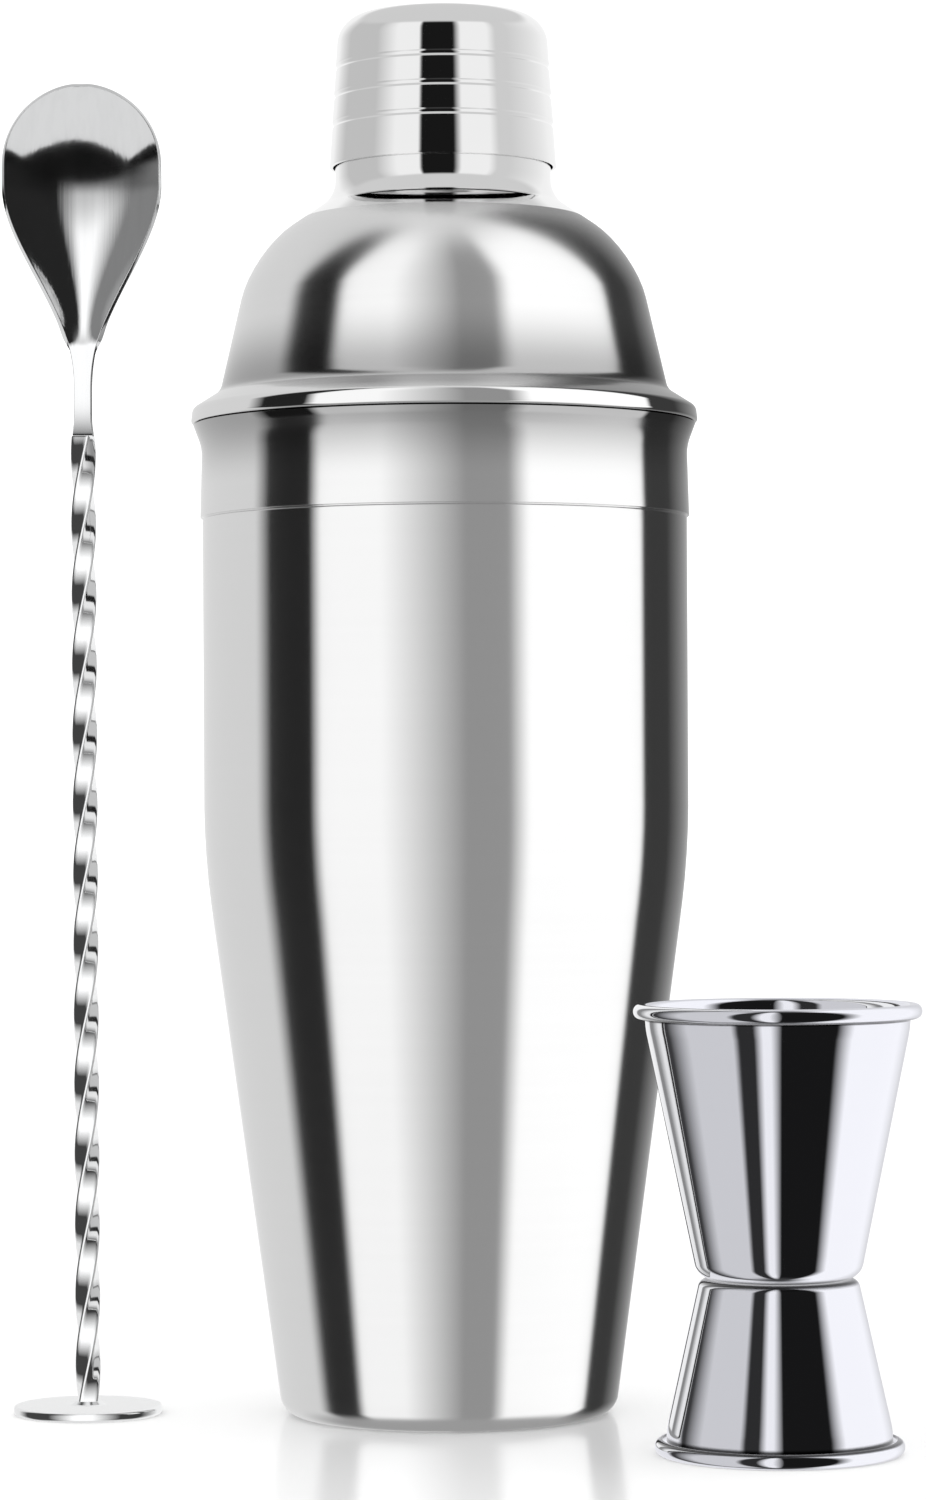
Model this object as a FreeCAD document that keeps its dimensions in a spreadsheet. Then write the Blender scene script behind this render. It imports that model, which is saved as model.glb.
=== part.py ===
import FreeCAD, Part
import math
import os
import re

import Sketcher

# A cocktail shaker set in millimetres, +Z up: a three-piece shaker, a twisted bar spoon and a double jigger.
# The origin is the centre of the shaker's base. All three stand on the plane z = 0. Each piece of sheet is
# one open outline in a sketch, thickened to the sheet and turned about its own axis.

UP = FreeCAD.Vector(0, 0, 1)
UPRIGHT = FreeCAD.Rotation(FreeCAD.Vector(1, 0, 0), 90)

SIZES = {
    # the shaker's cup, drawn from one sheet
    "shaker_sheet": 0.6,
    "base_radius": 28.5,
    "base_round": 3.4,
    "body_radius": 41.45,
    "taper_top": 95.5,
    "taper_round": 120.0,
    "seam_height": 153.2,
    "seam_step": 0.4,
    "seam_rise": 0.3,
    "collar_waist_radius": 41.5,
    "collar_waist_height": 165.2,
    "collar_round": 7.0,
    "lip_radius": 42.9,
    "lip_height": 168.9,
    # the strainer top: a skirt that plugs into the cup, a pressed ridge, a dome and a neck
    "skirt_radius": 40.65,
    "skirt_bottom": 154.6,
    "skirt_round": 0.4,
    "ridge_radius": 43.5,
    "ridge_underside": 169.3,
    "ridge_shoulder_radius": 43.2,
    "ridge_shoulder": 171.8,
    "ridge_round": 1.2,
    "dome_foot_radius": 38.35,
    "dome_foot_height": 174.8,
    "dome_foot_round": 2.5,
    "dome_shoulder_radius": 32.85,
    "dome_shoulder_height": 198.4,
    "dome_shoulder_round": 20.5,
    "neck_foot_radius": 18.5,
    "neck_foot_height": 208.2,
    "neck_foot_round": 5.0,
    "neck_round": 2.0,
    "neck_step_height": 213.8,
    "neck_radius": 17.5,
    "neck_straight_height": 217.5,
    "neck_top": 228.0,
    # the perforated plate in the neck
    "plate_sheet": 0.6,
    "plate_height": 219.0,
    "plate_dish": 1.6,
    "plate_flat_radius": 4.0,
    "plate_dish_round": 18.0,
    "plate_edge_round": 1.2,
    "plate_flange": 3.0,
    "plate_hole_diameter": 2.8,
    "plate_hole_pitch": 4.7,
    # the cap
    "cap_bottom": 213.2,
    "cap_radius": 19.45,
    "cap_top_radius": 17.75,
    "cap_edge_height": 238.9,
    "cap_edge_round": 5.0,
    "cap_crown_radius": 8.0,
    "cap_height": 239.6,
    "cap_crown_round": 100.0,
    "cap_groove_first": 7.1,
    "cap_groove_pitch": 4.95,
    "cap_groove_depth": 0.22,
    "cap_groove_round": 0.65,
    # the bar spoon
    "spoon_x": -61.9,
    "foot_radius": 12.7,
    "foot_thickness": 1.6,
    "foot_round": 0.7,
    "bar_side": 3.3,
    "bar_twist_pitch": 48.0,
    "bar_top": 167.5,
    "tang_width": 3.4,
    "bowl_sheet": 0.9,
    "bowl_radius": 13.7,
    "bowl_depth": 5.4,
    "bowl_widest_height": 214.0,
    "tang_depth": 3.06,
    "tang_shoulder": 181.0,
    "bowl_bottom": 176.0,
    "bowl_foot_height": 179.5,
    "bowl_foot_round": 17.0,
    "bowl_shoulder_height": 211.6,
    "bowl_hollow_bottom": 183.0,
    "bowl_hollow_radius": 2.13,
    "bowl_hollow_round": 1.2,
    # the double jigger
    "jigger_x": 53.0,
    "jigger_y": -53.0,
    "jigger_sheet": 0.5,
    "jigger_height": 72.0,
    "waist_height": 28.0,
    "large_bottom_radius": 13.1,
    "large_bottom_round": 3.0,
    "small_bottom_radius": 12.8,
    "small_bottom_round": 1.4,
    "mouth_round": 12.0,
    "large_mouth_radius": 21.2,
    "small_mouth_radius": 18.1,
    "bead_radius": 1.2,
    "curl_round": 1.14,
}

document = FreeCAD.newDocument("CocktailShakerSet")
sheet = document.addObject("Spreadsheet::Sheet", "Sizes")
for row, (alias, size) in enumerate(SIZES.items(), 1):
    sheet.set(f"A{row}", alias)
    sheet.set(f"B{row}", str(size))
    sheet.setAlias(f"B{row}", alias)
document.recompute()


def from_sheet(text):
    """Write the words of an expression as the sheet's cells."""
    return re.sub(r"[a-z]+(?:_[a-z]+)+", r"Sizes.\g<0>", text)


def bind(thing, field, text):
    thing.setExpression(field, from_sheet(text))


def size(text):
    return float(sheet.evalExpression(from_sheet(text)))


def hold(sketch, point, radius, height):
    """Hold one end or point of a sketch at a radius and a height from the sheet."""
    for kind, text, axis in (("DistanceX", radius, -2), ("DistanceY", height, -1)):
        if size(text) == 0:
            sketch.addConstraint(Sketcher.Constraint("PointOnObject", *point, axis))
        else:
            index = sketch.addConstraint(Sketcher.Constraint(kind, *point, size(text)))
            bind(sketch, f"Constraints[{index}]", text)


def outline(name, corners, closed=False):
    """Draw a line through corners, each a radius, a height and, where it is rounded, the rounding."""
    sketch = document.addObject("Sketcher::SketchObject", name)
    sketch.Placement = FreeCAD.Placement(FreeCAD.Vector(), UPRIGHT)
    places = [FreeCAD.Vector(size(corner[0]), size(corner[1]), 0) for corner in corners]
    runs = [(after - before).normalize() for before, after in zip(places, places[1:])]
    turns = [None] * len(corners)
    starts, ends = places[:-1], places[1:]
    for i, corner in enumerate(corners):
        if len(corner) < 3:
            continue
        rounding = size(corner[2])
        before, after = runs[i - 1], runs[i]
        reach = rounding * math.tan(before.getAngle(after) / 2)
        ends[i - 1] = places[i] - before * reach
        starts[i] = places[i] + after * reach
        left = before.cross(after).z > 0
        side = UP.cross(before) if left else before.cross(UP)
        middle = ends[i - 1] + side * rounding
        first, last = (ends[i - 1], starts[i]) if left else (starts[i], ends[i - 1])
        angles = [math.atan2((end - middle).y, (end - middle).x) for end in (first, last)]
        turns[i] = (Part.ArcOfCircle(Part.Circle(middle, UP, rounding), *angles), left)
    lines = [sketch.addGeometry(Part.LineSegment(start, end)) for start, end in zip(starts, ends)]
    for i, turn in enumerate(turns):
        if turn:
            arc, left = sketch.addGeometry(turn[0]), turn[1]
            corner = sketch.addGeometry(Part.Point(places[i]), True)
            sketch.addConstraint(
                [
                    Sketcher.Constraint("Tangent", lines[i - 1], 2, arc, 1 if left else 2),
                    Sketcher.Constraint("Tangent", arc, 2 if left else 1, lines[i], 1),
                    Sketcher.Constraint("PointOnObject", corner, 1, lines[i - 1]),
                    Sketcher.Constraint("PointOnObject", corner, 1, lines[i]),
                ]
            )
            index = sketch.addConstraint(Sketcher.Constraint("Radius", arc, size(corners[i][2])))
            bind(sketch, f"Constraints[{index}]", corners[i][2])
            hold(sketch, (corner, 1), *corners[i][:2])
        elif i < len(lines):
            hold(sketch, (lines[i], 1), *corners[i])
            if i:
                sketch.addConstraint(Sketcher.Constraint("Coincident", lines[i - 1], 2, lines[i], 1))
        else:
            hold(sketch, (lines[-1], 2), *corners[i])
    if closed:
        last = sketch.addGeometry(Part.LineSegment(places[-1], places[0]))
        sketch.addConstraint(Sketcher.Constraint("Coincident", lines[-1], 2, last, 1))
        sketch.addConstraint(Sketcher.Constraint("Coincident", last, 2, lines[0], 1))
    return sketch


def turned(name, section, angle=360):
    """Turn a section about the upright axis."""
    piece = document.addObject("Part::Revolution", name)
    piece.Source = section
    piece.Axis = UP
    piece.Angle = angle
    piece.Solid = True
    return piece


def sheet_metal(name, corners, thickness):
    """Thicken an outline to the left of its direction and turn it, as sheet is spun over a former."""
    section = document.addObject("Part::Offset2D", f"{name}_section")
    section.Source = outline(f"{name}_outline", corners)
    section.Mode = "Skin"
    section.Join = "Intersection"
    section.Fill = True
    bind(section, "Value", thickness)
    return turned(name, section)


def stand(piece, x, y):
    """Stand a piece on the table away from the shaker."""
    bind(piece, "Placement.Base.x", x)
    bind(piece, "Placement.Base.y", y)


def boolean(kind, name, base, tool):
    piece = document.addObject(f"Part::{kind}", name)
    piece.Base = base
    piece.Tool = tool
    return piece


def of_origin(body, role):
    """A body's own origin plane or axis."""
    return next(feature for feature in body.Origin.OriginFeatures if feature.Role == role)


def body_sketch(body, name, role, height="0"):
    """A sketch on one of a body's own planes, lifted along the plane's normal."""
    sketch = body.newObject("Sketcher::SketchObject", name)
    sketch.AttachmentSupport = [(of_origin(body, role), "")]
    sketch.MapMode = "FlatFace"
    bind(sketch, "AttachmentOffset.Base.z", height)
    return sketch


def circle(sketch, radius, x="0"):
    """A round hole or disc in a sketch, on the X axis."""
    edge = sketch.addGeometry(Part.Circle(FreeCAD.Vector(size(x), 0, 0), UP, size(radius)))
    index = sketch.addConstraint(Sketcher.Constraint("Radius", edge, size(radius)))
    bind(sketch, f"Constraints[{index}]", radius)
    hold(sketch, (edge, 3), x, "0")


def make_cup():
    """The cup: a flat base, a tapered wall, a straight body, the expanded mouth and the flared lip."""
    return sheet_metal(
        "shaker_cup",
        [
            ("0", "0"),
            ("base_radius", "0", "base_round"),
            ("body_radius", "taper_top", "taper_round"),
            ("body_radius", "seam_height"),
            ("body_radius + seam_step", "seam_height + seam_rise"),
            ("collar_waist_radius", "collar_waist_height", "collar_round"),
            ("lip_radius", "lip_height"),
        ],
        "shaker_sheet",
    )


def make_strainer_top():
    """The top: its skirt plugs into the cup, its ridge rests over the lip, and the cap goes over its neck."""
    return sheet_metal(
        "strainer_top",
        [
            ("skirt_radius", "skirt_bottom"),
            ("skirt_radius", "ridge_underside", "skirt_round"),
            ("ridge_radius", "ridge_underside", "ridge_round"),
            ("ridge_shoulder_radius", "ridge_shoulder", "ridge_round"),
            ("dome_foot_radius", "dome_foot_height", "dome_foot_round"),
            ("dome_shoulder_radius", "dome_shoulder_height", "dome_shoulder_round"),
            ("neck_foot_radius", "neck_foot_height", "neck_foot_round"),
            ("neck_foot_radius", "neck_step_height", "neck_round"),
            ("neck_radius", "neck_straight_height", "neck_round"),
            ("neck_radius", "neck_top"),
        ],
        "shaker_sheet",
    )


def make_strainer_plate():
    """The perforated plate: a dished disc with a flange that grips the inside of the neck."""
    blank = sheet_metal(
        "strainer_plate_blank",
        [
            ("0", "plate_height - plate_dish"),
            ("plate_flat_radius", "plate_height - plate_dish", "plate_dish_round"),
            ("neck_radius - shaker_sheet", "plate_height", "plate_edge_round"),
            ("neck_radius - shaker_sheet", "plate_height + plate_flange"),
        ],
        "plate_sheet",
    )
    body = document.addObject("PartDesign::Body", "strainer_plate")
    body.BaseFeature = blank
    document.recompute()
    for ring in range(4):
        sketch = body_sketch(body, f"plate_hole_{ring}", "XY_Plane", "plate_height")
        circle(sketch, "plate_hole_diameter / 2", f"plate_hole_pitch * {ring}")
        hole = body.newObject("PartDesign::Pocket", f"plate_pocket_{ring}")
        hole.Profile = sketch
        hole.Type = "ThroughAll"
        hole.Midplane = True
        body.Tip = hole
        document.recompute()
        if ring:
            pattern = body.newObject("PartDesign::PolarPattern", f"plate_ring_{ring}")
            pattern.Originals = [hole]
            pattern.Axis = (of_origin(body, "Z_Axis"), [""])
            pattern.Angle = 360
            pattern.Occurrences = 6 * ring
            body.Tip = pattern
            document.recompute()
    return body


def make_cap():
    """The cap: a slightly tapered shell with a rounded edge, a low crown and three rolled grooves."""
    cap = sheet_metal(
        "shaker_cap_shell",
        [
            ("cap_radius", "cap_bottom"),
            ("cap_top_radius", "cap_edge_height", "cap_edge_round"),
            ("cap_crown_radius", "cap_height", "cap_crown_round"),
            ("0", "cap_height"),
        ],
        "shaker_sheet",
    )
    lean = "(cap_radius - cap_top_radius) / (cap_edge_height - cap_bottom)"
    for groove in range(3):
        rise = f"(cap_groove_first + cap_groove_pitch * {groove})"
        ring = document.addObject("Part::Torus", f"cap_groove_{groove}")
        bind(ring, "Radius2", "cap_groove_round")
        bind(ring, "Radius1", f"cap_radius - {rise} * {lean} + cap_groove_round - cap_groove_depth")
        bind(ring, "Placement.Base.z", f"cap_bottom + {rise}")
        cap = boolean("Cut", "shaker_cap" if groove == 2 else f"cap_grooved_{groove}", cap, ring)
    return cap


def make_muddler_disc():
    """The disc under the spoon, for pressing fruit and herbs, with a rounded edge."""
    body = document.addObject("PartDesign::Body", "muddler_disc")
    sketch = body_sketch(body, "disc_outline", "XY_Plane")
    circle(sketch, "foot_radius")
    disc = body.newObject("PartDesign::Pad", "disc_pad")
    disc.Profile = sketch
    bind(disc, "Length", "foot_thickness")
    document.recompute()
    rim = body.newObject("PartDesign::Fillet", "disc_rim")
    edges = disc.Shape.Edges
    round_edges = [f"Edge{i}" for i, edge in enumerate(edges, 1) if isinstance(edge.Curve, Part.Circle)]
    rim.Base = (disc, round_edges)
    bind(rim, "Radius", "foot_round")
    body.Tip = rim
    stand(body, "spoon_x", "0")
    return body


def make_twisted_stem():
    """The stem: a square bar twisted right-handed, four edges rising like a screw's thread."""
    twist = document.addObject("Part::Helix", "bar_twist")
    bind(twist, "Pitch", "bar_twist_pitch")
    bind(twist, "Height", "bar_top - foot_thickness")
    bind(twist, "Radius", "bar_side")
    bind(twist, "Placement.Base.z", "foot_thickness")
    path = document.addObject("Part::Line", "bar_axis")
    bind(path, "Z1", "foot_thickness")
    bind(path, "Z2", "bar_top")
    bar = document.addObject("Part::Feature", "twisted_stem")
    document.recompute()
    half = size("bar_side / 2")
    corners = [FreeCAD.Vector(x * half, y * half, size("foot_thickness"))
               for x, y in ((-1, -1), (1, -1), (1, 1), (-1, 1), (-1, -1))]
    square = Part.makePolygon(corners)
    shell = Part.BRepOffsetAPI.MakePipeShell(Part.Wire(path.Shape.Edges))
    shell.setAuxiliarySpine(Part.Wire(twist.Shape.Edges), True, 0)
    shell.add(square)
    shell.build()
    shell.makeSolid()
    bar.Shape = shell.shape()
    stand(bar, "spoon_x", "0")
    return bar


def make_spoon_bowl():
    """The spoon's bowl: half of a teardrop turned about its length, flattened, hollowed, with its tang."""
    def half_teardrop(name, corners, depth, radius):
        solid = turned(f"{name}_turned", outline(f"{name}_outline", corners, closed=True), 180)
        flat = document.addObject("Part::Scale", name)
        flat.Base = solid
        flat.Uniform = False
        bind(flat, "YScale", f"({depth}) / ({radius})")
        return flat

    shell = half_teardrop(
        "bowl_outside",
        [
            ("0", "bowl_bottom"),
            ("tang_width / 2", "bowl_bottom"),
            ("tang_width / 2", "bowl_foot_height", "bowl_foot_round"),
            ("bowl_radius", "bowl_shoulder_height", "bowl_radius - 0.2"),
            ("bowl_radius", "bowl_widest_height + bowl_radius", "bowl_radius - 0.1"),
            ("0", "bowl_widest_height + bowl_radius"),
        ],
        "bowl_depth",
        "bowl_radius",
    )
    inner = "(bowl_radius - bowl_sheet)"
    hollow = half_teardrop(
        "bowl_inside",
        [
            ("0", "bowl_hollow_bottom"),
            ("bowl_hollow_radius", "bowl_hollow_bottom", "bowl_hollow_round"),
            (inner, "bowl_shoulder_height", f"{inner} - 0.2"),
            (inner, f"bowl_widest_height + {inner}", f"{inner} - 0.1"),
            ("0", f"bowl_widest_height + {inner}"),
        ],
        "bowl_depth - bowl_sheet",
        inner,
    )
    dish = boolean("Cut", "bowl_dish", shell, hollow)
    tang = document.addObject("Part::Box", "tang")
    bind(tang, "Length", "tang_width")
    bind(tang, "Width", "tang_depth")
    bind(tang, "Height", "tang_shoulder - bar_top")
    bind(tang, "Placement.Base.x", "-tang_width / 2")
    bind(tang, "Placement.Base.z", "bar_top")
    whole = boolean("Fuse", "spoon_bowl", dish, tang)
    stand(whole, "spoon_x", "-tang_depth / 2")
    return whole


def make_measure(name, cup, rim_height, direction):
    """One cup of the jigger, from its bottom at the waist to its rolled rim."""
    def up(text):
        return f"waist_height {direction} ({text})"

    inside = f"{cup}_bottom_radius - jigger_sheet"
    middle = f"({cup}_mouth_radius - jigger_sheet + bead_radius)"
    top = f"({rim_height} - bead_radius)"
    corners = [
        ("0", up("jigger_sheet")),
        (inside, up("jigger_sheet"), f"{cup}_bottom_round - jigger_sheet"),
        (f"{cup}_mouth_radius - jigger_sheet", up(f"{top} - 2 * bead_radius"), "mouth_round"),
        (f"{middle} - bead_radius", up(f"{top} + bead_radius"), "curl_round"),
        (f"{middle} + bead_radius", up(f"{top} + bead_radius"), "curl_round"),
        (f"{middle} + bead_radius", up(f"{top} - bead_radius"), "curl_round"),
        (middle, up(f"{top} - bead_radius")),
    ]
    piece = sheet_metal(name, corners, "-jigger_sheet" if direction == "+" else "jigger_sheet")
    stand(piece, "jigger_x", "jigger_y")
    return piece


pieces = [
    make_cup(),
    make_strainer_top(),
    make_strainer_plate(),
    make_cap(),
    make_muddler_disc(),
    make_twisted_stem(),
    make_spoon_bowl(),
    make_measure("jigger_large_cup", "large", "(jigger_height - waist_height)", "+"),
    make_measure("jigger_small_cup", "small", "waist_height", "-"),
]
document.recompute()

for thing in document.Objects:
    if {"Invalid", "Error"} & set(thing.State):
        raise SystemExit(f"{thing.Name} did not compute: {thing.State}")

os.makedirs("parts", exist_ok=True)
for piece in pieces:
    if piece.Shape.isNull() or not piece.Shape.isValid() or len(piece.Shape.Solids) != 1:
        raise SystemExit(f"{piece.Label} is not one valid solid")
    box = piece.Shape.BoundBox
    print(f"{piece.Label}: {piece.Shape.Volume:.1f} mm3, z {box.ZMin:.2f} to {box.ZMax:.2f}, "
          f"x {box.XMin:.2f} to {box.XMax:.2f}, y {box.YMin:.2f} to {box.YMax:.2f}")
    piece.Shape.exportStep(f"parts/{piece.Label}.step")
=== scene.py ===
import math

import bmesh
import bpy
from mathutils import Matrix, Vector


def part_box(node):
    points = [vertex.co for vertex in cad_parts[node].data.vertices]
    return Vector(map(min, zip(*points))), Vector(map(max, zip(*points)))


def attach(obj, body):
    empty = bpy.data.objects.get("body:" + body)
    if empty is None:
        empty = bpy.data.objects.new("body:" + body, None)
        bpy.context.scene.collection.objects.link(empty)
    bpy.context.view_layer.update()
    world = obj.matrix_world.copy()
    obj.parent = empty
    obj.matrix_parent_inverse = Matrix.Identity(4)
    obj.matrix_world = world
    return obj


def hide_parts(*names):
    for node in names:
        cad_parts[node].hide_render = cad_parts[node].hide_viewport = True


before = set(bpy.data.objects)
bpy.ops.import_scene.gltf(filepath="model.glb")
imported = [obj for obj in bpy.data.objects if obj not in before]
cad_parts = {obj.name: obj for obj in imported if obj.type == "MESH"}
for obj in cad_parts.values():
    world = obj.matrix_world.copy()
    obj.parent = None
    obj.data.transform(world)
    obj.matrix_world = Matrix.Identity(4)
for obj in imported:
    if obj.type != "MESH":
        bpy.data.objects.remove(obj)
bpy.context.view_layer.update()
scene = bpy.context.scene

# The camera stands level, a little under half the shaker's height, with a long lens.
# It is raised in the frame by a small shift so that the shaker fills the picture from edge to edge.
camera_distance = 0.797
camera_eye = 0.1045
camera_data = bpy.data.cameras.new("camera")
camera_data.lens = 111.6
camera_data.sensor_width = 36
camera_data.shift_y = 0.0347
camera = bpy.data.objects.new("camera", camera_data)
camera.location = (0.00286, -camera_distance, camera_eye)
camera.rotation_euler = (math.radians(90), math.radians(0.3), 0)
scene.collection.objects.link(camera)
scene.camera = camera
scene.view_settings.view_transform = "Standard"


class Field:
    """A socket of a node tree: arithmetic on it adds Math nodes, and make() adds any other node."""

    def __init__(self, tree, socket=None):
        self.tree = tree
        self.socket = socket

    def make(self, kind, settings=None, sockets=None, out=0):
        """Add a node, set it up, fill or link its sockets, and give back one of its outputs."""
        node = self.tree.nodes.new(kind)
        for name, value in (settings or {}).items():
            if name == "stops":
                stops = node.color_ramp.elements
                while len(stops) < len(value):
                    stops.new(1)
                for stop, (place, level) in zip(stops, value):
                    stop.position = place
                    stop.color = (*level, 1)
            else:
                setattr(node, name, value)
        for name, value in (sockets or {}).items():
            if isinstance(value, Field):
                self.tree.links.new(value.socket, node.inputs[name])
            else:
                node.inputs[name].default_value = value
        return Field(self.tree, node.outputs[out] if node.outputs else None)

    def math(self, operation, *others):
        return self.make("ShaderNodeMath", {"operation": operation}, dict(enumerate((self, *others))))

    def __add__(self, other):
        return self.math("ADD", other)

    def __mul__(self, other):
        return self.math("MULTIPLY", other)

    def __sub__(self, other):
        return self.math("SUBTRACT", other)

    def __rsub__(self, other):
        return self.math("MULTIPLY", -1.0).math("ADD", other)

    __radd__ = __add__
    __rmul__ = __mul__

    def rise(self, start, end):
        """0 below start and 1 above end, with a soft change between."""
        sockets = {"Value": self, "From Min": start, "From Max": end}
        return self.make("ShaderNodeMapRange", {"interpolation_type": "SMOOTHSTEP"}, sockets)

    def split(self):
        """The three parts of a vector."""
        first = self.make("ShaderNodeSeparateXYZ", sockets={"Vector": self})
        return [Field(self.tree, socket) for socket in first.socket.node.outputs]


# The studio: a soft white surround that lights the floor and is the plain backdrop.
# Polished metal shows whatever stands round it, so each thing has its own ring of light panels and dark
# flags, which only that thing's own metal sees. The rings don't light the floor and aren't seen directly.
world = bpy.data.worlds.new("white_surround")
world.use_nodes = True
world.node_tree.nodes["Background"].inputs["Color"].default_value = (1, 1, 1, 1)
world.node_tree.nodes["Background"].inputs["Strength"].default_value = 1.3
world.cycles_visibility.glossy = False
scene.world = world

DEGREES = 180 / math.pi


def ring_of_panels(name, radius, panels, floor_level, sky_level, centre=(0, 0, 0), tint=(1, 1, 1),
                   floor_edge=(-62, -38), sky_edge=(60, 85), scallop=None, flag=None):
    """A ring of panels (start, end, brightness), in degrees to the right, fading one into the next."""
    mesh = bpy.data.meshes.new(name)
    bm = bmesh.new()
    bmesh.ops.create_uvsphere(bm, u_segments=48, v_segments=24, radius=radius)
    bmesh.ops.translate(bm, verts=bm.verts, vec=centre)
    bmesh.ops.reverse_faces(bm, faces=bm.faces)
    bm.to_mesh(mesh)
    bm.free()
    ring = bpy.data.objects.new(name, mesh)
    scene.collection.objects.link(ring)
    material = bpy.data.materials.new(name)
    material.use_nodes = True
    material.cycles.emission_sampling = "NONE"
    material.node_tree.nodes.clear()
    start = Field(material.node_tree)
    here = start.make("ShaderNodeTexCoord", out="Object")
    offset = start.make(
        "ShaderNodeVectorMath", {"operation": "SUBTRACT"}, {0: here, 1: tuple(centre)}
    )
    x, y, z = offset.split()
    turn = x.math("ARCTAN2", y * -1.0) * DEGREES
    tilt = (z * (1 / radius)).math("ARCSINE") * DEGREES
    around = (turn + 180.0) * (1 / 360)

    def grey(level):
        return tuple(level * part for part in tint)

    def layer(under, over, share):
        return start.make(
            "ShaderNodeMix", {"data_type": "RGBA"}, {"Factor": share, 6: under, 7: over}, out=2
        )

    stops = [((angle + 180) / 360, grey(level)) for first, last, level in panels for angle in (first, last)]
    light = start.make("ShaderNodeValToRGB", {"stops": stops}, {"Fac": around})
    if flag:
        level, bottom_edge, top_edge = flag
        light = layer(light, (*grey(level), 1), 1 - tilt.rise(bottom_edge, top_edge))
    floor_tilt = tilt
    if scallop:
        notch_angle, notch_lift, side_lift = scallop
        stops = []
        for angle in range(-90, 91, notch_angle // 3):
            lift = (angle / notch_angle) ** 2 if abs(angle) <= notch_angle else side_lift / notch_lift
            stops.append(((angle + 180) / 360, (lift, lift, lift)))
        edge = start.make("ShaderNodeValToRGB", {"stops": stops}, {"Fac": around})
        floor_tilt = tilt - edge * float(notch_lift)
    light = layer(light, (*grey(floor_level), 1), 1 - floor_tilt.rise(*floor_edge))
    light = layer(light, (*grey(sky_level), 1), tilt.rise(*sky_edge))
    glow = start.make("ShaderNodeEmission", sockets={"Color": light, "Strength": 1.0})
    clear = start.make("ShaderNodeBsdfTransparent")
    shader = start.make("ShaderNodeAddShader", sockets={0: glow, 1: clear})
    start.make("ShaderNodeOutputMaterial", sockets={"Surface": shader})
    mesh.materials.append(material)
    ring.visible_camera = False
    ring.visible_diffuse = False
    ring.visible_shadow = False
    seen_by = bpy.data.collections.new(f"{name}_seen_by")
    ring.light_linking.receiver_collection = seen_by
    return seen_by


# Round the shaker: a narrow black flag to the left, a softbox either side of a grey gap, a dark flag right.
shaker_light = ring_of_panels(
    "shaker_panels", 4.0,
    [
        (-180, -100, 0.8), (-90, -66, 0.02), (-60, -30, 1.2), (10, 30, 0.35), (40, 105, 1.3),
        (108, 130, 0.05), (175, 180, 0.5),
    ],
    0.4, 0.85, floor_edge=(-52, -24),
)
# Round the cap and neck: a white tent with one black strip, nearly in front.
cap_light = ring_of_panels(
    "cap_panels", 4.3,
    [
        (-180, -150, 1.0), (-120, -75, 0.6), (-50, -25, 1.0), (-22, 12, 0.01), (20, 50, 1.0), (60, 75, 0.7),
        (140, 180, 1.0),
    ],
    0.1, 0.7, floor_edge=(-62, -40), sky_edge=(34, 44),
)
# Round the spoon's bowl: a softbox in front over a black flag, a black flag right, and a pale floor whose
# far edge looks scalloped in the hollow.
bowl_light = ring_of_panels(
    "bowl_panels", 4.6,
    [(-180, -140, 0.8), (-80, -50, 0.25), (-20, 0, 1.2), (20, 90, 0.02), (130, 180, 0.8)],
    0.8, 0.6, floor_edge=(-13, -12), sky_edge=(40, 70), scallop=(45, 14, 10), flag=(0.006, 4.5, 12),
)
# Round the stem and foot: a softbox in front and behind, dark flags either side.
stem_light = ring_of_panels(
    "stem_panels", 5.5,
    [(-180, -130, 0.9), (-105, -60, 0.06), (-20, 10, 1.2), (55, 95, 0.05), (140, 180, 1.0)],
    0.85, 0.9,
)
# Round the jigger: two slim black strips to the left with a white one beside them, a broad black flag,
# and a softbox to the right.
jigger_low, jigger_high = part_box("jigger_small_cup")
jigger_middle = jigger_low.lerp(jigger_high, 0.5)
jigger_light = ring_of_panels(
    "jigger_panels", 4.9,
    [
        (-180, -130, 0.9), (-121, -116, 0.05), (-90, -45, 0.7), (-39, -25, 0.03), (-17, -10, 1.0),
        (0, 50, 0.01), (67, 130, 1.1), (160, 180, 0.75),
    ],
    0.06, 0.12, centre=jigger_middle, tint=(0.985, 0.985, 1.025), floor_edge=(-86, -62), sky_edge=(66, 86),
)
# Round the floor: plain white, so that its gloss stays pale.
floor_light = ring_of_panels("floor_panels", 5.2, [(-180, 180, 1.0)], 1.0, 1.0)

floor_mesh = bpy.data.meshes.new("floor")
bm = bmesh.new()
bmesh.ops.create_circle(bm, cap_ends=True, segments=64, radius=3.5)
bm.to_mesh(floor_mesh)
bm.free()
floor = bpy.data.objects.new("floor", floor_mesh)
floor.visible_glossy = False
scene.collection.objects.link(floor)
floor_light.objects.link(floor)
floor_material = bpy.data.materials.new("pale_gloss_floor")
floor_material.use_nodes = True
floor_shader = floor_material.node_tree.nodes["Principled BSDF"]
floor_shader.inputs["Base Color"].default_value = (0.97, 0.97, 0.97, 1)
floor_shader.inputs["Roughness"].default_value = 0.16
floor_shader.inputs["IOR"].default_value = 1.25
floor_mesh.materials.append(floor_material)


# The shaker's cup: one sheet of stainless steel, drawn, tapered below and expanded at the mouth so that the
# strainer top's skirt sits flush inside it. It is brushed round its axis and stands on its flat base.
MM = 0.001


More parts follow.
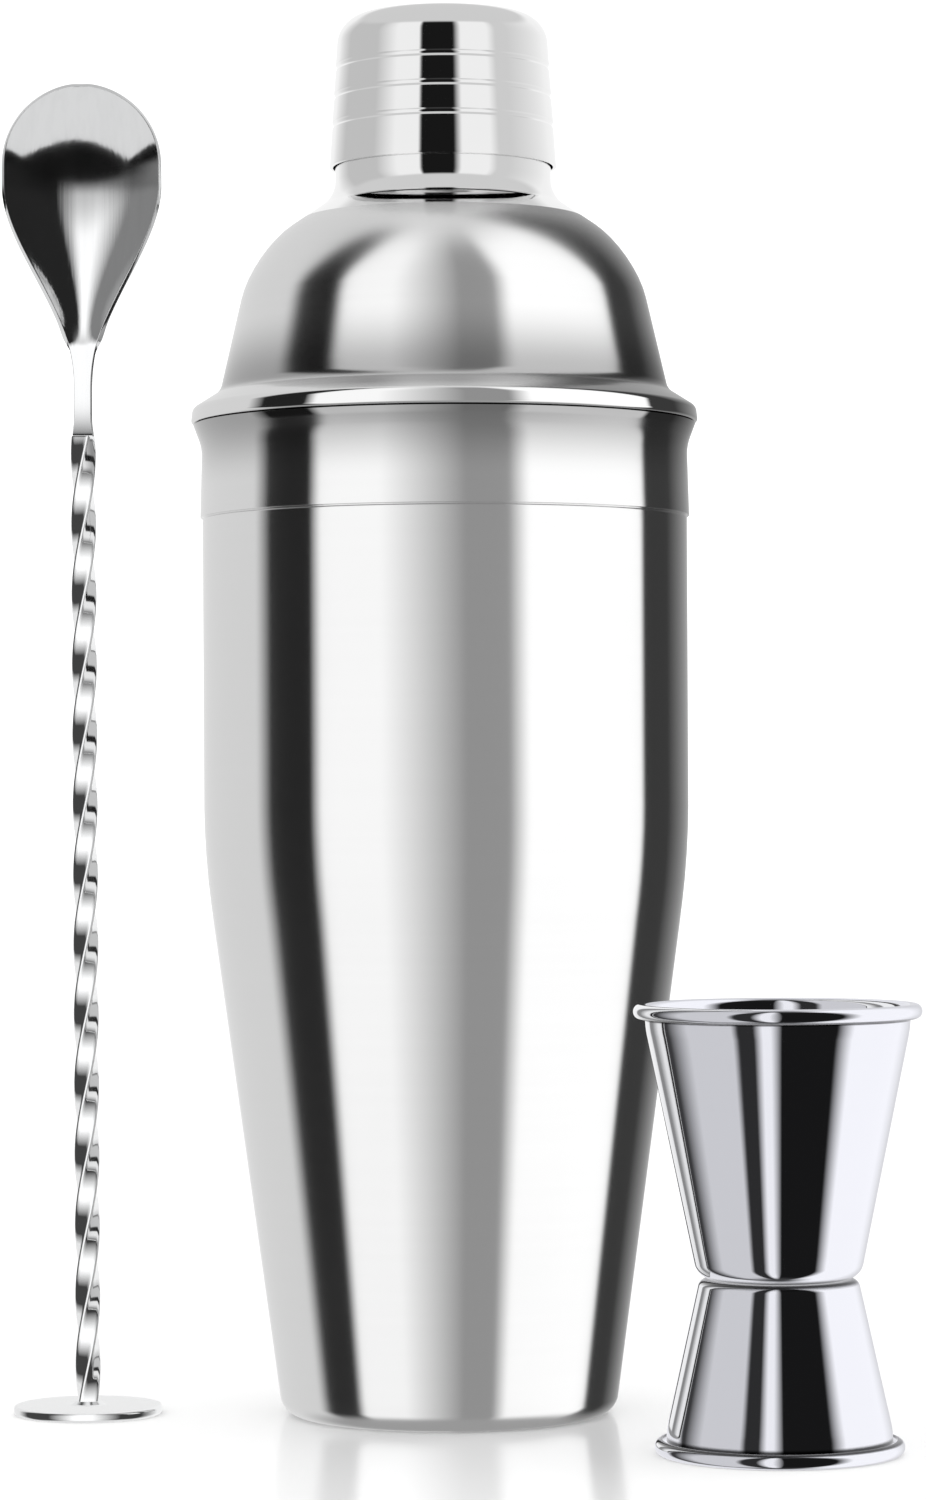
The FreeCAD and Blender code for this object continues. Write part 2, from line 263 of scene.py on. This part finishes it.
def outline(corners, step=2.5 * MM):
    """A line through corners (radius, height, rounding in mm), rounded, with its long runs divided."""
    bm = bmesh.new()
    points = [Vector((radius, 0, height)) * MM for radius, height, *_ in corners]
    verts = [bm.verts.new(point) for point in points]
    for before, after in zip(verts, verts[1:]):
        bm.edges.new((before, after))
    for i, corner in enumerate(corners):
        if len(corner) < 3:
            continue
        turn = (points[i] - points[i - 1]).angle(points[i + 1] - points[i])
        reach = corner[2] * MM * math.tan(turn / 2)
        bmesh.ops.bevel(
            bm, geom=[verts[i]], affect="VERTICES", offset=reach, offset_type="OFFSET",
            segments=max(4, math.ceil(math.degrees(turn) / 6)), profile=0.5, material=-1,
        )
    for edge in [edge for edge in bm.edges if edge.calc_length() > step]:
        bmesh.ops.subdivide_edges(bm, edges=[edge], cuts=int(edge.calc_length() / step))
    return bm


def turn_round(bm, steps=192):
    """Turn an outline about the upright axis into a closed skin with its faces outwards."""
    geometry = bm.verts[:] + bm.edges[:]
    bmesh.ops.spin(
        bm, geom=geometry, cent=(0, 0, 0), axis=(0, 0, 1), angle=2 * math.pi, steps=steps, use_merge=True
    )
    bmesh.ops.remove_doubles(bm, verts=bm.verts, dist=0.001 * MM)
    bmesh.ops.recalc_face_normals(bm, faces=bm.faces)


def finish_piece(bm, name, node, body, light, place=(0, 0, 0)):
    """Make the mesh an object at its place, smooth, standing for its node and riding on its body."""
    bmesh.ops.translate(bm, verts=bm.verts, vec=place)
    mesh = bpy.data.meshes.new(name)
    bm.to_mesh(mesh)
    bm.free()
    mesh.shade_smooth()
    piece = bpy.data.objects.new(name, mesh)
    scene.collection.objects.link(piece)
    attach(piece, body)
    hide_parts(node)
    light.objects.link(piece)
    return piece


def spun_sheet(name, node, body, light, corners, thickness, place=(0, 0, 0), kept=None,
               step=2.5 * MM):
    """A piece spun from sheet: its outline turned round, thickened to the sheet, its cut edges dulled."""
    bm = outline(corners, step)
    turn_round(bm)
    if kept:
        height, above = kept
        bmesh.ops.bisect_plane(
            bm, geom=bm.verts[:] + bm.edges[:] + bm.faces[:], dist=0, plane_co=(0, 0, height * MM),
            plane_no=(0, 0, 1), clear_inner=above, clear_outer=not above,
        )
    widest = max(bm.faces, key=lambda face: face.calc_center_median().xy.length)
    if widest.normal.xy.dot(widest.calc_center_median().xy) < 0:
        bmesh.ops.reverse_faces(bm, faces=bm.faces)
    piece = finish_piece(bm, name, node, body, light, place)
    wall = piece.modifiers.new("sheet", "SOLIDIFY")
    wall.thickness = thickness * MM
    wall.offset = -1
    wall.use_even_offset = True
    if kept:
        crisp = piece.modifiers.new("crisp_edge", "EDGE_SPLIT")
        crisp.split_angle = math.radians(50)
        return piece
    edge = piece.modifiers.new("dulled_edge", "BEVEL")
    edge.width = 0.15 * MM
    edge.segments = 3
    edge.limit_method = "ANGLE"
    edge.angle_limit = math.radians(50)
    return piece


def steel(name, colour, roughness, brushing, anisotropy=0.0, polished_band=None, axis=(0, 0, 0),
          painted_shades=(), lengthwise=False):
    """Stainless steel with faint haze and fine lines, round the axis or lengthwise.

    A painted shade is shade painted into the colour as a darker tone between heights: it rises from the
    first to the second, fades from the third to the fourth, and its last value is how much of the colour is
    left.
    """
    material = bpy.data.materials.new(name)
    material.use_nodes = True
    tree = material.node_tree
    shader = tree.nodes["Principled BSDF"]
    start = Field(tree)
    here = start.make("ShaderNodeTexCoord", out="Object")
    centred = start.make("ShaderNodeMapping", {"vector_type": "POINT"},
                         {"Vector": here, "Location": tuple(-part for part in axis)})

    def noise(scale, detail):
        stretched = start.make("ShaderNodeMapping", {"vector_type": "POINT"},
                               {"Vector": centred, "Scale": scale})
        return start.make(
            "ShaderNodeTexNoise", sockets={"Vector": stretched, "Scale": 1.0, "Detail": detail}
        )

    lines = noise((2600, 2600, 24) if lengthwise else (26, 26, 5200), 3.0)
    broad_lines = noise((620, 620, 8) if lengthwise else (9, 9, 900), 2.0)
    haze = noise((45, 45, 30), 4.0)
    height = centred.split()[2]
    rough = (haze - 0.5) * (0.25 * roughness) + roughness
    rough = rough + (broad_lines - 0.5) * (brushing * 0.35 * roughness)
    if polished_band:
        low, high, polish = polished_band
        band = height.rise(low - 0.0003, low + 0.0003) * (1 - height.rise(high - 0.0003, high + 0.0003))
        rough = rough * (1 - band) + band * polish
        lines = (lines - 0.5) * (1 - band) + 0.5
    tree.links.new(rough.socket, shader.inputs["Roughness"])
    tone = start.make(
        "ShaderNodeMix", {"data_type": "RGBA"},
        {"Factor": (broad_lines - 0.5) * brushing + haze * 0.35,
         6: (*colour, 1), 7: (*(part * 0.93 for part in colour), 1)},
        out=2,
    )
    # Each painted shade darkens the colour between its heights, in place of real shade.
    for low, high, fading, faded, level in painted_shades:
        share = height.rise(low * MM, high * MM) * (1 - height.rise(fading * MM, faded * MM))
        tone = start.make(
            "ShaderNodeMix", {"data_type": "RGBA"},
            {"Factor": share, 6: tone, 7: (*(part * level for part in colour), 1)},
            out=2,
        )
    tree.links.new(tone.socket, shader.inputs["Base Color"])
    bump = start.make(
        "ShaderNodeBump", sockets={"Height": lines, "Strength": 0.25 * brushing, "Distance": 0.02 * MM}
    )
    tree.links.new(bump.socket, shader.inputs["Normal"])
    shader.inputs["Metallic"].default_value = 1.0
    shader.inputs["Anisotropic"].default_value = anisotropy
    shader.inputs["Anisotropic Rotation"].default_value = 0.25
    return material


sheet = 0.6
polish_start, ridge_top = 0.1680, 0.1742
# The satin steel has painted shade in its colour: darker on the collar just under the ridge, and darker at
# the dome's foot just above the ridge.
satin = steel("satin_steel", (0.79, 0.79, 0.79), 0.16, 0.22, anisotropy=1.0,
              polished_band=(polish_start, ridge_top, 0.06), 
              painted_shades=[(157.5, 169.0, 169.2, 169.4, 0.5), (173.8, 175.2, 175.4, 187, 0.5)])
cup = spun_sheet(
    "cup_shell", "shaker_cup", "shaker", shaker_light,
    [
        (0, 0), (28.5, 0, 3.4), (41.45, 95.5, 120), (41.45, 152.9, 0.1), (41.28, 153.1, 0.06),
        (41.28, 153.25, 0.03), (41.85, 153.3, 0.08), (41.5, 165.2, 7.0), (42.95, 169.05),
    ],
    sheet,
)
cup.data.materials.append(satin)

# The strainer top: one sheet spun into a skirt that plugs into the cup, a pressed ridge that rests over the
# cup's lip, a dome and a neck for the cap. The dome is brushed, and the ridge and the neck are polished.
polished_neck = 204.3
top_corners = [
    (40.65, 154.6), (40.65, 169.25, 0.3), (43.4, 169.25, 0.6), (43.1, 171.8, 1.2), (38.35, 174.8, 2.5),
    (32.85, 198.4, 20.5), (18.5, 208.2, 5.0), (18.5, 213.8, 2.0), (17.5, 217.5, 2.0), (17.5, 228.0),
]
dome = spun_sheet("strainer_dome", "strainer_top", "strainer", shaker_light, top_corners,
                  sheet, kept=(polished_neck, False))
dome.data.materials.append(satin)
polished_cap = steel("polished_steel_cap", (0.86, 0.86, 0.86), 0.035, 0.15)
neck = spun_sheet("strainer_neck", "strainer_top", "strainer", cap_light, top_corners, sheet,
                  kept=(polished_neck, True))
neck.data.materials.append(polished_cap)

# The cap: a deep-drawn shell, mirror polished, with three shallow grooves rolled round it for grip.
# It pushes over the neck and pulls off to pour.
cap_bottom, cap_radius, cap_lean = 213.2, 19.45, (19.45 - 17.75) / (238.9 - 213.2)
cap_corners = [(cap_radius, cap_bottom)]
for rise in (7.1, 12.05, 17.0):
    wall = cap_radius - rise * cap_lean
    cap_corners += [
        (wall, cap_bottom + rise - 0.55, 0.25), (wall - 0.22, cap_bottom + rise - 0.2, 0.4),
        (wall - 0.22, cap_bottom + rise + 0.2, 0.4), (wall, cap_bottom + rise + 0.55, 0.25),
    ]
cap_corners += [(17.75, 238.9, 5.0), (8.0, 239.6, 100.0), (0, 239.6)]
cap = spun_sheet("cap_shell", "shaker_cap", "cap", cap_light, cap_corners, sheet,
                 step=0.5 * MM)
cap.data.materials.append(polished_cap)

# The jigger: two drawn cups welded bottom to bottom, mirror polished, each with its rim rolled outwards.
jigger_sheet, bead, waist_height, jigger_height = 0.5, 1.2, 28.0, 72.0
# Painted shade in the jigger's colour: dark lines in the waist between the two cups, where the bead at the
# foot meets the wall, and just under the rim's bead.
waist_painted_shade = (waist_height - 0.9, waist_height - 0.2, waist_height + 0.2, waist_height + 0.8, 0.04)
foot_corner = 2 * bead
foot_painted_shade = (foot_corner - 0.5, foot_corner - 0.2, foot_corner + 0.1, foot_corner + 0.7, 0.08)
rim_corner = jigger_height - 2 * bead
rim_painted_shade = (rim_corner - 0.4, rim_corner - 0.1, rim_corner + 0.1, rim_corner + 0.4, 0.15)
polished_jigger = steel("polished_steel_jigger", (0.84, 0.845, 0.87), 0.035, 0.15,
                        axis=(*jigger_middle.xy, 0), painted_shades=[waist_painted_shade, foot_painted_shade, rim_painted_shade])


def measure(name, node, bottom, bottom_round, mouth, rim, way):
    """One cup, drawn from its inner side: floor, wall and the rim rolled outwards in a bead."""
    inside, middle, top = mouth - jigger_sheet, mouth - jigger_sheet + bead, rim - bead
    corners = [
        (0, jigger_sheet), (bottom - jigger_sheet, jigger_sheet, bottom_round - jigger_sheet),
        (inside, top - 2 * bead, 12),
        (inside, top + bead, bead * 0.97), (inside + 2 * bead, top + bead, bead * 0.97),
        (inside + 2 * bead, top - bead, bead * 0.97), (middle, top - bead),
    ]
    corners = [(radius, waist_height + way * height, *rounding) for radius, height, *rounding in corners]
    place = (jigger_middle.x, jigger_middle.y, 0)
    piece = spun_sheet(name, node, "jigger", jigger_light, corners, jigger_sheet,
                       place=place)
    piece.data.materials.append(polished_jigger)
    return piece


measure("large_measure", "jigger_large_cup", 13.1, 3.0, 21.2, jigger_height - waist_height, 1)
measure("small_measure", "jigger_small_cup", 12.8, 1.4, 18.1, waist_height, -1)

# The spoon's foot: a turned disc of steel for pressing fruit and herbs. Its edge is rounded, and it is
# welded to the stem.
polished_spoon = steel("polished_steel_spoon", (0.86, 0.865, 0.87), 0.05, 0.2)
disc_low, disc_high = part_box("muddler_disc")
spoon_x, spoon_y = disc_low.lerp(disc_high, 0.5).xy
disc_radius, disc_thickness, weld = 12.7, 1.6, 0.7


def spun_solid(name, node, body, light, corners, place, steps=128):
    """A turned solid piece: its closed outline turned round."""
    bm = outline(corners)
    turn_round(bm, steps)
    return finish_piece(bm, name, node, body, light, place)


disc = spun_solid(
    "foot_disc", "muddler_disc", "spoon", stem_light,
    [
        (0, 0), (disc_radius, 0, 0.7), (disc_radius, disc_thickness, 0.5),
        (2.2 + weld, disc_thickness, 0.7), (2.2, disc_thickness + weld, 0.1), (0, disc_thickness + weld),
    ],
    (spoon_x, spoon_y, 0),
)
disc.data.materials.append(polished_spoon)

# The stem: a square steel bar twisted right-handed along its whole length, its four edges slightly rounded.
bar_side, bar_edge, twist_pitch = 3.3 * MM, 0.42 * MM, 48 * MM
stem_low, stem_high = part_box("twisted_stem")
bar_length = stem_high.z - stem_low.z
bm = bmesh.new()
bmesh.ops.create_circle(bm, segments=4, radius=bar_side / math.sqrt(2))
bmesh.ops.rotate(bm, verts=bm.verts, matrix=Matrix.Rotation(math.radians(45), 3, "Z"))
bmesh.ops.bevel(bm, geom=bm.verts[:], affect="VERTICES", offset=bar_edge, offset_type="OFFSET",
                segments=4, profile=0.5, material=-1)
for edge in [edge for edge in bm.edges if edge.calc_length() > 1.2 * MM]:
    bmesh.ops.subdivide_edges(bm, edges=[edge], cuts=5)
bmesh.ops.contextual_create(bm, geom=bm.edges[:])
twist_steps = 480
section = bm.verts[:] + bm.edges[:] + bm.faces[:]
bmesh.ops.spin(
    bm, geom=section, cent=(0, 0, 0), axis=(0, 0, 1), angle=2 * math.pi * bar_length / twist_pitch,
    steps=twist_steps, dvec=(0, 0, bar_length / twist_steps),
)
bmesh.ops.recalc_face_normals(bm, faces=bm.faces)
stem = finish_piece(bm, "twisted_bar", "twisted_stem", "spoon", stem_light,
                    (spoon_x, spoon_y, stem_low.z))
stem.data.materials.append(polished_spoon)

# The bowl: hammered out of the bar's end into a long teardrop, dished, ground thin at its rim and brushed
# lengthwise. Its tang is the part of the bar left flat and welded on the stem.
bowl_low, bowl_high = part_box("spoon_bowl")
bowl_margin = 0.45 * MM
bowl_radius = (bowl_high.x - bowl_low.x) / 2 - bowl_margin
bowl_centre = bowl_high.z - bowl_radius - bowl_margin
bowl_front = bowl_low.y
bowl_deepest = bowl_centre - 4.5 * MM
bowl_sheet_depth, tang_half, tang_depth, rim_sheet = 4.4 * MM, 1.45 * MM, 3.0 * MM, 0.9 * MM

bowl_lean, lean_length = 0.8 * MM, 44 * MM


def ease(value, start, end):
    """0 at start, 1 at end, with level ends."""
    share = min(1, max(0, (value - start) / (end - start)))
    return share * share * (3 - 2 * share)


shoulder_start, shoulder_end, shoulder_fullness = 175 * MM, 210.5 * MM, 1.25
weld_flare, weld_height = 0.28 * MM, 3 * MM
hollow_end, thinning_start, thinning_end = 183 * MM, 176 * MM, 188 * MM
round_rows, hollow_fullness, narrowest_chord = 20, 0.8, 0.02
bm = bmesh.new()
bmesh.ops.create_grid(bm, x_segments=20, y_segments=84, size=1)
thickness_of = {}
rows = sorted({round(vert.co.y, 5) for vert in bm.verts})
below = len(rows) - 1 - round_rows
for vert in bm.verts:
    across = vert.co.x
    row = rows.index(round(vert.co.y, 5))
    if row >= below:
        up = (row - below) / round_rows
        x = across * math.sqrt(1 - up * up / 2) * bowl_radius
        z = bowl_centre + up * math.sqrt(1 - across * across / 2) * bowl_radius
        chord = math.sqrt(max(0, 1 - ((z - bowl_centre) / bowl_radius) ** 2))
        aside = abs(x) / bowl_radius / max(narrowest_chord, chord)
        along = (z - bowl_deepest) / (bowl_high.z - bowl_deepest)
    else:
        z = bowl_low.z + (bowl_centre - bowl_low.z) * row / below
        wide = ease(z, shoulder_start, shoulder_end) ** shoulder_fullness
        foot = weld_flare * (1 - ease(z, bowl_low.z, bowl_low.z + weld_height))
        x = across * (tang_half + foot + (bowl_radius - tang_half) * wide)
        aside = abs(across)
        reach = bowl_high.z if z > bowl_deepest else hollow_end
        along = (z - bowl_deepest) / abs(reach - bowl_deepest)
    dish = max(0, 1 - along * along) ** hollow_fullness * (1 - min(1, aside) ** 2)
    lean = bowl_lean * math.sin(math.pi * min(1, (z - bowl_low.z) / lean_length)) ** 2
    vert.co = Vector((x, dish * bowl_sheet_depth + lean, z))
    thinned = ease(z, thinning_start, thinning_end)
    thickness_of[vert.index] = 1 + (rim_sheet / tang_depth - 1) * thinned
bmesh.ops.recalc_face_normals(bm, faces=bm.faces)
if sum(face.normal.y for face in bm.faces) > 0:
    bmesh.ops.reverse_faces(bm, faces=bm.faces)
bowl = finish_piece(bm, "teardrop_bowl", "spoon_bowl", "spoon", bowl_light,
                    (spoon_x, bowl_front, 0))
thick = bowl.vertex_groups.new(name="thick")
for index, share in thickness_of.items():
    thick.add([index], share, "REPLACE")
wall = bowl.modifiers.new("sheet", "SOLIDIFY")
wall.thickness = tang_depth
wall.offset = -1
wall.vertex_group = "thick"
edge = bowl.modifiers.new("rounded_rim", "BEVEL")
edge.width = 0.3 * MM
edge.segments = 3
edge.limit_method = "ANGLE"
edge.angle_limit = math.radians(50)
smooth = bowl.modifiers.new("smooth", "SUBSURF")
smooth.levels = 1
smooth.render_levels = 1
brushed_bowl = steel("brushed_steel_bowl", (0.84, 0.845, 0.85), 0.09, 1.6, lengthwise=True)
bowl.data.materials.append(brushed_bowl)

# The perforated plate, pressed into the neck, is polished like the neck.
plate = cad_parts["strainer_plate"]
plate.data.materials.clear()
plate.data.materials.append(polished_cap)
cap_light.objects.link(plate)

# The loose things stand apart from the shaker and aren't seen in its polish.
for name in ("foot_disc", "twisted_bar", "teardrop_bowl", "large_measure", "small_measure"):
    bpy.data.objects[name].visible_glossy = False
